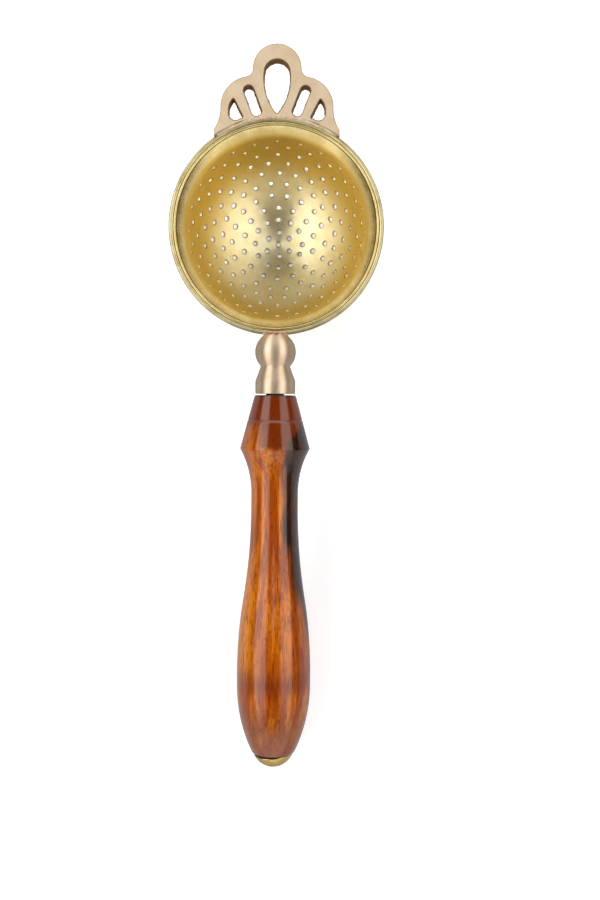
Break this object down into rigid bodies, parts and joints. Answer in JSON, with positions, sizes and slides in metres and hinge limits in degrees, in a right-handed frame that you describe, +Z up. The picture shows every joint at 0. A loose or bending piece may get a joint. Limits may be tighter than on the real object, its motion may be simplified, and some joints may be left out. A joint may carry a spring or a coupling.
{
  "type": "tea strainer",
  "caption": "Hand tea strainer: round perforated bowl with a rim ring, a cast openwork crown that rests on the cup, a ball ferrule and a turned wooden handle.",
  "frame": {"origin": "on the table, under the middle of the strainer's length", "axes": "+Z up, +Y along the strainer from the handle's butt to the crown, +X to the right; the strainer lies as it rests on a table, bowl upwards"},
  "size_m": [0.065, 0.2192, 0.0388],
  "materials": {
    "bowl_brass": "satin, spun",
    "rim_brass": "satin with light tarnish",
    "cast_brass": "filed, fine matt",
    "solder": "dull, lumpy",
    "turned_brass": "brushed round the axis",
    "stud_steel": "darkened",
    "lacquered_wood": "gloss lacquer over streaky red-brown grain",
    "cap_brass": "polished"
  },
  "bodies": {
    "root": {"strainer_bowl": "bowl_brass", "rim_ring": "rim_brass", "crown_lug": "cast_brass", "crown_solder": "solder", "ball_ferrule": "turned_brass", "neck_solder": "solder", "handle_stud": "stud_steel", "wooden_handle": "lacquered_wood", "end_cap": "cap_brass", "cap_pin": "cap_brass"}
  },
  "joints": []
}
